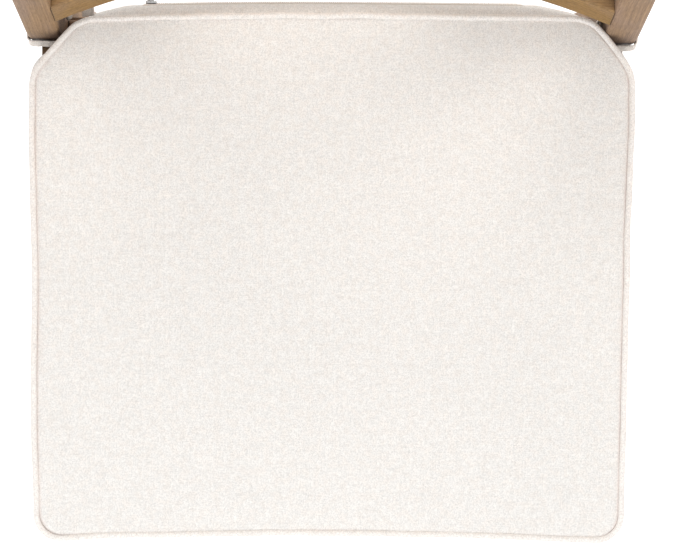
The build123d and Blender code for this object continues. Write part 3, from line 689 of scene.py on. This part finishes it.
def inflate(ob, pinned):
    """Fills the sewn shape with pressure, seams held, and returns where its vertices go."""
    group = ob.vertex_groups.new(name="seams")
    group.add([int(i) for i in pinned], 1.0, "REPLACE")
    cloth = ob.modifiers.new("fill", "CLOTH")
    setting = cloth.settings
    setting.quality = 5
    setting.mass = 0.25
    setting.tension_stiffness = 30
    setting.compression_stiffness = 12
    setting.shear_stiffness = 8
    setting.bending_stiffness = 0.8
    setting.use_pressure = True
    setting.uniform_pressure_force = 4
    setting.vertex_group_mass = "seams"
    setting.effector_weights.gravity = 0
    cloth.point_cache.frame_start = 1
    cloth.point_cache.frame_end = CLOTH_STEPS
    scene = bpy.context.scene
    for step in range(CLOTH_STEPS):
        scene.frame_set(step + 1)
    shaped = ob.evaluated_get(bpy.context.evaluated_depsgraph_get()).to_mesh()
    co = np.zeros(len(shaped.vertices) * 3, np.float32)
    shaped.vertices.foreach_get("co", co)
    ob.evaluated_get(bpy.context.evaluated_depsgraph_get()).to_mesh_clear()
    ob.modifiers.remove(cloth)
    scene.frame_set(1)
    return co.reshape(-1, 3).astype(float)


def make_cushion(material):
    """The cushion's cover: sewn, filled by the cloth simulation, and held back by its foam."""
    verts, faces, corners, rings, rim, normals = cushion_mesh()
    rest = np.stack([verts[:, 0] * MM, verts[:, 1] * MM + SEAT_Y0, verts[:, 2] * MM], 1)
    ob = new_mesh("cushion", rest, faces, material, corners)
    panel = len(plus_edge(SEAM_INSET)) * COLUMNS
    near, place = rim_distance(verts[:panel, :2], rim)
    swell = np.clip(near / 60, 0, 1)
    swell = swell * swell * (3 - 2 * swell)

    pinned = sorted(set(rings[0]) | set(rings[-1]))
    moved = inflate(ob, pinned)
    change = moved - rest

    # the foam is firm, so it limits how far each part of the cover can swell
    limit = np.full(len(rest), 0.0030)
    for ring in rings[1:-1]:
        limit[ring] = (0.6 + swell_of(rim, normals, 1.2, 3.4)) * MM
    limit[:panel] = 0.0062
    size = np.linalg.norm(change, axis=1)
    size[size == 0] = 1.0
    change *= (limit * np.tanh(size / limit) / size)[:, None]
    shape = rest + change

    # small gathers where the panel's edge is eased into the seam
    rng = np.random.default_rng(3)
    wave = np.zeros(panel)
    for _ in range(14):
        length = rng.uniform(9, 34)
        wave += rng.uniform(0.3, 1.0) * np.sin(2 * pi * place / length + rng.uniform(0, 6.28))
    fade = np.clip(near / 3, 0, 1) * np.exp(-near / 9)
    shape[:panel, 2] += wave * fade * 0.11 * MM
    shape[:panel, 2] += 0.0009 * np.clip(near / 4, 0, 1) * np.exp(-near / 30)
    low = CUSHION_BOTTOM + 0.0006
    shape[:, 2] = np.maximum(shape[:, 2], low)
    ob.data.vertices.foreach_set("co", shape.astype(np.float32).ravel())

    # the seam attribute marks where the linen paints the shade line along the panel's seam
    seam = np.zeros(len(shape))
    seam[:panel] = np.exp(-(near / 1.6) ** 2)
    layer = ob.data.attributes.new("seam", "FLOAT", "POINT")
    layer.data.foreach_set("value", seam.astype(np.float32))
    ob.data.update()
    finer = ob.modifiers.new("finer", "SUBSURF")
    finer.levels = finer.render_levels = 1
    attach(ob, "root")
    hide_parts("cushion_cover", "cushion_foam")
    return ob


def tube(name, loop, heights, radii, sides, material):
    """A closed tube along a plan line, with its cloth running round it."""
    count = len(loop)
    normals = loop_normals(loop)
    run, whole = loop_run(loop)
    verts = []
    for n in range(count):
        for k in range(sides):
            angle = 2 * pi * k / sides
            out = radii[n] * cos(angle)
            x, y = loop[n] + normals[n] * out
            verts.append(seat(x, y, heights[n] + radii[n] * sin(angle)))
    faces = []
    corners = []
    girth = 2 * pi * PIPE_RADIUS
    for n in range(count):
        m = (n + 1) % count
        s0, s1 = run[n], run[m] if m else whole
        for k in range(sides):
            l = (k + 1) % sides
            c0, c1 = girth * k / sides, girth * (k + 1) / sides
            faces.append([n * sides + k, m * sides + k, m * sides + l, n * sides + l])
            corners += [(s0, c0), (s1, c0), (s1, c1), (s0, c1)]
    return new_mesh(name, verts, faces, material, np.array(corners) * MM)


def make_piping(name, node, centre, material, seed):
    """A round of piping whose centre line is at that height, slightly uneven as sewn."""
    loop = outline(PIPE_INSET, 2.5)
    count = len(loop)
    _, whole = loop_run(loop)
    normals = loop_normals(loop)
    loop = loop + normals * (smooth_noise(whole, count, 55, seed) * 0.28)[:, None]
    heights = centre + smooth_noise(whole, count, 70, seed + 1) * 0.22
    radii = PIPE_RADIUS + smooth_noise(whole, count, 22, seed + 2) * 0.07
    ob = tube(name, loop, heights, radii, 14, material)
    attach(ob, "root")
    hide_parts(node)
    return ob


# ---- ribbons ---------------------------------------------------------------------------------
RIBBON = 10.4
RIBBON_THICK = 1.5
TIE_DROP = 7.0              # the knots sit so far down the posts
POST_MIDDLE = 227.5         # across the seat


def ribbon_path(points, across, per_span=10):
    """A strip's smooth middle line, and the directions of its width and its face."""
    path = catmull(points, per_span)
    wide = catmull(across, per_span)
    tangent = np.gradient(path, axis=0)
    tangent /= np.linalg.norm(tangent, axis=1)[:, None]
    face = np.cross(tangent, wide)
    face /= np.linalg.norm(face, axis=1)[:, None]
    wide = np.cross(face, tangent)
    return path, wide, face


# a strip's section, folded and stitched along both edges: shares of its half width and thickness
SECTION = [(-1.0, 0.0), (-0.97, 0.75), (-0.86, 1.05), (-0.72, 0.66), (-0.3, 0.8), (0.3, 0.8),
           (0.72, 0.66), (0.86, 1.05), (0.97, 0.75), (1.0, 0.0), (0.97, -0.75), (0.86, -1.05),
           (0.72, -0.66), (0.3, -0.8), (-0.3, -0.8), (-0.72, -0.66), (-0.86, -1.05), (-0.97, -0.75)]


def ribbon(points, across, seed, closed_ends=True, width=RIBBON):
    """A folded, edge-stitched strip along points: its vertices, faces and weave corners."""
    path, wide, face = ribbon_path(points, across)
    rng = np.random.default_rng(seed)
    count = len(path)
    steps = np.linalg.norm(np.diff(path, axis=0), axis=1)
    run = np.concatenate([[0], np.cumsum(steps)])
    sides = len(SECTION)
    verts = []
    cup = rng.uniform(-0.35, 0.35)
    for n in range(count):
        for u, v in SECTION:
            ripple = 0.16 * sin(run[n] * 0.9 + 2.1 * u + seed) + 0.12 * sin(run[n] * 0.37 + 3 * u)
            p = path[n] + wide[n] * (u * width / 2)
            p = p + face[n] * (v * RIBBON_THICK / 2 + ripple + cup * (1 - u * u))
            verts.append(seat(*p))
    faces = []
    corners = []
    for n in range(count - 1):
        for k in range(sides):
            l = (k + 1) % sides
            u0, u1 = SECTION[k][0] * width / 2, SECTION[l][0] * width / 2
            faces.append([n * sides + k, n * sides + l, (n + 1) * sides + l, (n + 1) * sides + k])
            corners += [(run[n], u0), (run[n], u1), (run[n + 1], u1), (run[n + 1], u0)]
    if closed_ends:
        for ring, order in ((0, 1), (count - 1, -1)):
            ids = [ring * sides + k for k in range(sides)][::order][::-1]
            faces.append(ids)
            corners += [(run[ring], SECTION[i % sides][0] * width / 2) for i in ids]
    return verts, faces, corners


def joined(name, pieces, material, nodes):
    """Several strips as one object."""
    verts, faces, corners = [], [], []
    for v, f, c in pieces:
        start = len(verts)
        verts += v
        faces += [[start + i for i in face] for face in f]
        corners += c
    ob = new_mesh(name, verts, faces, material, np.array(corners) * MM)
    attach(ob, "root")
    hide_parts(*nodes)
    return ob


def back_point(depth, height):
    """The y and z of a point behind the post's front plane and up the post."""
    y = 186 + depth * cos(LEAN) + height * sin(LEAN)
    z = 475 - depth * sin(LEAN) + height * cos(LEAN)
    return y, z


def make_ties(side, material):
    """The strips at one rear corner: side is 1 for the sitter's left and -1 for the right."""
    name = "left" if side > 0 else "right"
    up = np.array([0, sin(LEAN), cos(LEAN)])

    def post(x, depth, height=0.0):
        y, z = back_point(depth, height)
        return (side * x, y, z)

    lower = -12.5 if side > 0 else -10.8
    flat = np.array([0, 0.33, 0.94])
    slack = np.array([0, 0.34, 0.94]) if side > 0 else np.array([0, 0.30, 0.95])
    # the strip across the front of the post and round its outer side
    front = [
        (side * 203, 180, 464), (side * 209, 182, 464), post(215, -1.3, lower),
        post(222, -1.2, lower), post(231, -1.0, lower), post(236, -0.85, lower),
        post(239.5, -0.5, lower), post(240.8, 0.4, lower), post(241.6, 1.8, lower),
        post(241.9, 5, lower + 0.5), post(242, 14, lower + 1), post(242, 26, lower + 2),
        post(241.4, 34, lower + 2), post(237, 36.6, lower + 2), post(230, 38, lower + 2),
    ]
    lean_in = [slack] * 3 + [(slack + flat) / 2, flat, flat] + [up] * 9
    # the strip past its inner side
    inner = [
        (side * 199, 190, 469), (side * 205, 195.5, 468), (side * 210.2, 201, 465),
        post(212.4, 20, -6), post(212.7, 30, -6), post(215, 36.4, -6), post(222, 38, -6),
        post(228, 39.5, -6),
    ]
    if side < 0:
        inner = [
            (-192.5, 203.0, 475), (-193.5, 209.5, 475), (-198, 214.0, 472.5), (-205.5, 212.5, 469),
            (-210.5, 206.5, 465), post(212.2, 22, -6), post(212.7, 31, -6), post(215, 36.4, -6),
            post(222, 38, -6), post(228, 39.5, -6),
        ]
    inner_up = [up] * len(inner)
    if side < 0:
        lying = np.array([0.95, 0.15, 0.30])
        turning = np.array([0.55, 0.60, 0.60])
        inner_up[:4] = [lying, lying, turning, (turning + up) / 2]
    pieces = [ribbon(front, lean_in, 5 if side > 0 else 9), ribbon(inner, inner_up, 6 if side > 0 else 8)]
    band = joined("tie_band_" + name + "_cloth", pieces, material, ["tie_band_" + name])

    loops = []
    for turn, size, seed in ((0.35, 1.0, 21), (-0.45, 0.86, 22)):
        ring, ups = [], []
        for k in range(17):
            angle = 2 * pi * k / 16
            x = POST_MIDDLE + 7.6 * size * cos(angle)
            depth = 42.0 + 4.6 * size * sin(angle)
            height = -TIE_DROP - 0.5 + 3.4 * sin(turn) * cos(angle)
            ring.append(post(x, depth, height))
            ups.append(up + np.array([side * 0.5 * sin(turn), 0, 0]))
        loops.append(ribbon(ring, ups, seed, False, 9.5 * size))
    knot = joined("tie_knot_" + name + "_cloth", loops, material, ["tie_knot_" + name])

    tails = []
    for dx, length, sway, seed in ((-5.5, 74, -1.5, 31), (6.0, 86, 2.0, 32)):
        top_y, top_z = back_point(42, -TIE_DROP - 3)
        path, wides = [], []
        for k in range(9):
            t = k / 8
            x = side * (POST_MIDDLE + dx * (0.35 + 0.75 * sqrt(t)) + sway * sin(2.4 * t))
            y = top_y + 1.2 + 2.3 * sin(2.6 * t + seed) * t
            path.append((x, y, top_z - length * t * 0.98))
            twist = 0.30 * sin(2.2 * t + seed)
            wides.append((cos(twist), sin(twist), 0.04 * seed % 0.1))
        tails.append(ribbon(path, wides, seed))
    tail = joined("tie_tails_" + name + "_cloth", tails, material, ["tie_tails_" + name])
    return [band, knot, tail]


# ---- zipper ----------------------------------------------------------------------------------
def make_zipper(cushion, tape_material, metal_material):
    """A tape that follows the rear boxing, two rows of teeth, a slider and its pull."""
    shaped = cushion.evaluated_get(bpy.context.evaluated_depsgraph_get())
    tree = BVHTree.FromObject(shaped, bpy.context.evaluated_depsgraph_get())
    low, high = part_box("zipper_tape")
    middle = (low.z + high.z) / 2
    half = (high.z - low.z) / 2

    def skin(x, z, gap):
        hit = tree.ray_cast(Vector((x, high.y + 0.2, z)), Vector((0, -1, 0)))[0]
        return (hit.y if hit else high.y) + gap

    columns = np.linspace(low.x, high.x, 151)
    rows = np.array([-1, -0.96, -0.6, -0.22, -0.12, 0.12, 0.22, 0.6, 0.96, 1]) * half
    lift = np.array([-0.4, 0.5, 0.55, 0.6, 0.3, 0.3, 0.6, 0.55, 0.5, -0.4]) * MM
    verts = [(x, skin(x, middle + z, up), middle + z) for x in columns for z, up in zip(rows, lift)]
    faces, corners = [], []
    for i in range(len(columns) - 1):
        for j in range(len(rows) - 1):
            a = i * len(rows) + j
            quad = [a, a + 1, a + len(rows) + 1, a + len(rows)]
            faces.append(quad)
            corners += [(verts[q][0], verts[q][2]) for q in quad]
    tape = new_mesh("zipper_tape_cloth", verts, faces, tape_material, np.array(corners))
    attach(tape, "root")
    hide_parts("zipper_tape")

    verts, faces = [], []
    pitch = 0.0015
    for n in range(int((high.x - low.x - 0.004) / pitch)):
        x = low.x + 0.002 + n * pitch
        way = 1 if n % 2 else -1
        z = middle + way * 0.0007
        y = skin(x, middle, 0.0006)
        box_at(verts, faces, (x, y, z), (0.0009, 0.0012, 0.0026))
    teeth = new_mesh("zipper_teeth", verts, faces, tape_material)
    teeth.data.polygons.foreach_set("use_smooth", [False] * len(teeth.data.polygons))
    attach(teeth, "root")

    s_low, s_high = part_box("zipper_slider")
    x = (s_low.x + s_high.x) / 2
    y = skin(x, middle, 0.0018)
    verts, faces = [], []
    box_at(verts, faces, (x, y, middle), (0.0085, 0.0018, 0.0074))
    box_at(verts, faces, (x - 0.0006, y + 0.0016, middle), (0.0052, 0.0013, 0.0022))
    pull_y = skin(x, middle - 0.008, 0.0032)
    for dx in (-0.0026, 0.0026):
        box_at(verts, faces, (x + dx, pull_y, middle - 0.0075), (0.0012, 0.0011, 0.0165))
    box_at(verts, faces, (x, pull_y, middle - 0.0162), (0.0062, 0.0011, 0.0042))
    box_at(verts, faces, (x, pull_y, middle + 0.0008), (0.0062, 0.0011, 0.0014))
    slider = new_mesh("zipper_slider_metal", verts, faces, metal_material)
    slider.data.polygons.foreach_set("use_smooth", [False] * len(slider.data.polygons))
    bevel = slider.modifiers.new("edges", "BEVEL")
    bevel.width = 0.0004
    bevel.segments = 2
    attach(slider, "root")
    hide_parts("zipper_slider")


# ---- stage -----------------------------------------------------------------------------------
def stage():
    s = Shader("floor_paint")
    s.bsdf.inputs["Base Color"].default_value = linear(250, 250, 250)
    s.bsdf.inputs["Roughness"].default_value = 0.9
    s.bsdf.inputs["Emission Color"].default_value = (1, 1, 1, 1)
    s.bsdf.inputs["Emission Strength"].default_value = 0.5
    mesh = bpy.data.meshes.new("floor")
    reach = 7.0
    mesh.from_pydata([(-reach, -reach, 0), (reach, -reach, 0), (reach, reach, 0), (-reach, reach, 0)],
                     [], [(0, 1, 2, 3)])
    mesh.materials.append(s.material)
    floor_plane = bpy.data.objects.new("floor", mesh)
    bpy.context.scene.collection.objects.link(floor_plane)

    world = bpy.data.worlds.new("studio")
    world.use_nodes = True
    sky = world.node_tree.nodes["Background"]
    sky.inputs["Color"].default_value = (1.0, 1.0, 1.0, 1)
    sky.inputs["Strength"].default_value = 0.72
    bpy.context.scene.world = world

    def lamp(name, place, target, size, power, colour=(1, 1, 1)):
        data = bpy.data.lights.new(name, "AREA")
        data.shape = "RECTANGLE"
        data.size, data.size_y = size
        data.energy = power
        data.color = colour
        ob = bpy.data.objects.new(name, data)
        ob.location = place
        way = Vector(target) - Vector(place)
        ob.rotation_euler = way.to_track_quat("-Z", "Y").to_euler()
        ob.visible_camera = False
        bpy.context.scene.collection.objects.link(ob)

    lamp("key", (-0.35, -1.7, 2.1), (0, -0.05, 0.5), (1.6, 1.1), 15.3, (1.0, 0.995, 0.985))
    lamp("top", (0.2, 0.1, 2.9), (0, 0, 0.4), (2.2, 1.6), 10.5)
    lamp("back", (0.6, 1.9, 1.9), (0, 0.1, 0.5), (1.4, 1.0), 19, (1.0, 0.90, 0.81))


def camera():
    """Almost straight above the seat, tipped 4.5 degrees and turned a third of a degree."""
    tip, roll, swing = radians(4.5), radians(0.35), radians(0.348)
    up = Vector((0, cos(tip), -sin(tip)))
    straight = Vector((0, -sin(tip), -cos(tip)))
    look = straight * cos(swing) + Vector((sin(swing), 0, 0))
    across = look.cross(up)
    right = across * cos(roll) + up * sin(roll)
    top = up * cos(roll) - across * sin(roll)
    data = bpy.data.cameras.new("camera")
    data.sensor_width = 36
    data.lens = 94.97
    ob = bpy.data.objects.new("camera", data)
    turn = Matrix((right, top, -look)).transposed().to_4x4()
    place = Vector((-0.004, SEAT_Y0 + 0.110, CUSHION_TOP + 1.400))
    ob.matrix_world = Matrix.Translation(place) @ turn
    bpy.context.scene.collection.objects.link(ob)
    bpy.context.scene.camera = ob


# ---- build -----------------------------------------------------------------------------------
dress_wood()
ZINC = metal("zinc_plate", linear(186, 188, 190), 0.28)
GLIDE = plastic("glide_plastic", linear(58, 52, 47))
for node, ob in frame["nodes"].items():
    if SLOTS.get(node) == "zinc":
        dress(ob, ZINC)
    elif SLOTS.get(node) == "glide":
        dress(ob, GLIDE)

PANEL_LINEN = linen("linen_panel")
# the piping's linen is paler than the panel's: a painted highlight on the raised piping, which is the
# same cloth
BIAS_LINEN = linen("linen_bias", linear(245, 241, 237), bias=True)
# the ties' linen carries painted shade in its crevices
TIE_LINEN = linen("linen_ties", linear(240, 234, 228), shade=0.6)
ZIP_TAPE = linen("zipper_cloth", linear(232, 226, 219), contrast=0.5)

cushion = make_cushion(PANEL_LINEN)
make_piping("top_piping_cloth", "top_piping", CUSHION_TOP / MM - 2.2, BIAS_LINEN, 40)
make_piping("bottom_piping_cloth", "bottom_piping", CUSHION_BOTTOM / MM + 2.3, BIAS_LINEN, 50)
for way in (1, -1):
    make_ties(way, TIE_LINEN)
make_zipper(cushion, ZIP_TAPE, ZINC)
stage()
camera()
bpy.context.scene.view_settings.view_transform = "Standard"
